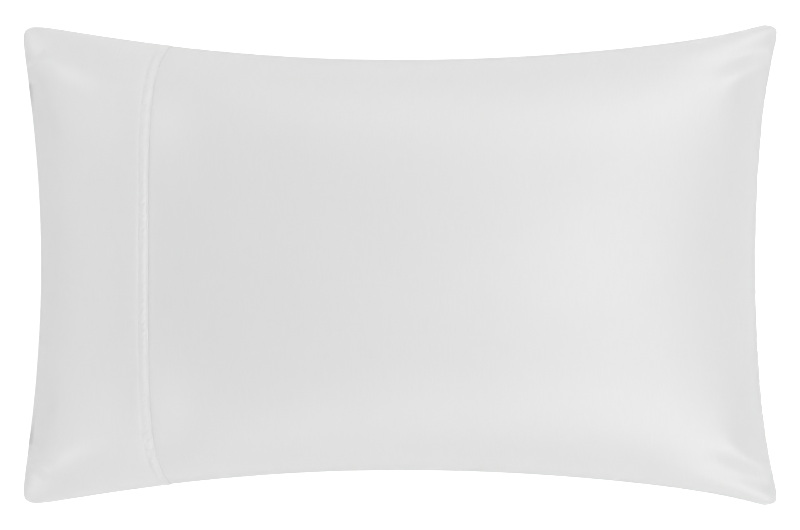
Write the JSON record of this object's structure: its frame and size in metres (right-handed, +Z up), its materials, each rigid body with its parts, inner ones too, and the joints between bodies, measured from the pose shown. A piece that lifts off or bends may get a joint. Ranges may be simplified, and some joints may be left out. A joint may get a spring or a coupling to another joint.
{
  "type": "filled pillowcase",
  "caption": "Rectangular cotton pillowcase with a deep sewn-on cuff, filled by its pillow, lying on its back with a crowned face, drawn-in sides and pointed sewn corners.",
  "frame": {"origin": "the middle of the underside, on the surface that the pillowcase lies on", "axes": "+Z up out of the front face, X along the length with the cuff and the mouth towards -X, Y across the width"},
  "size_m": [0.7298, 0.4652, 0.169],
  "materials": {
    "main_cloth": "smooth white cotton sateen",
    "cuff_cloth": "smooth white cotton sateen, doubled, with a row of topstitching"
  },
  "bodies": {
    "root": {"filled_body": "main_cloth", "cuff": "cuff_cloth"}
  },
  "joints": []
}
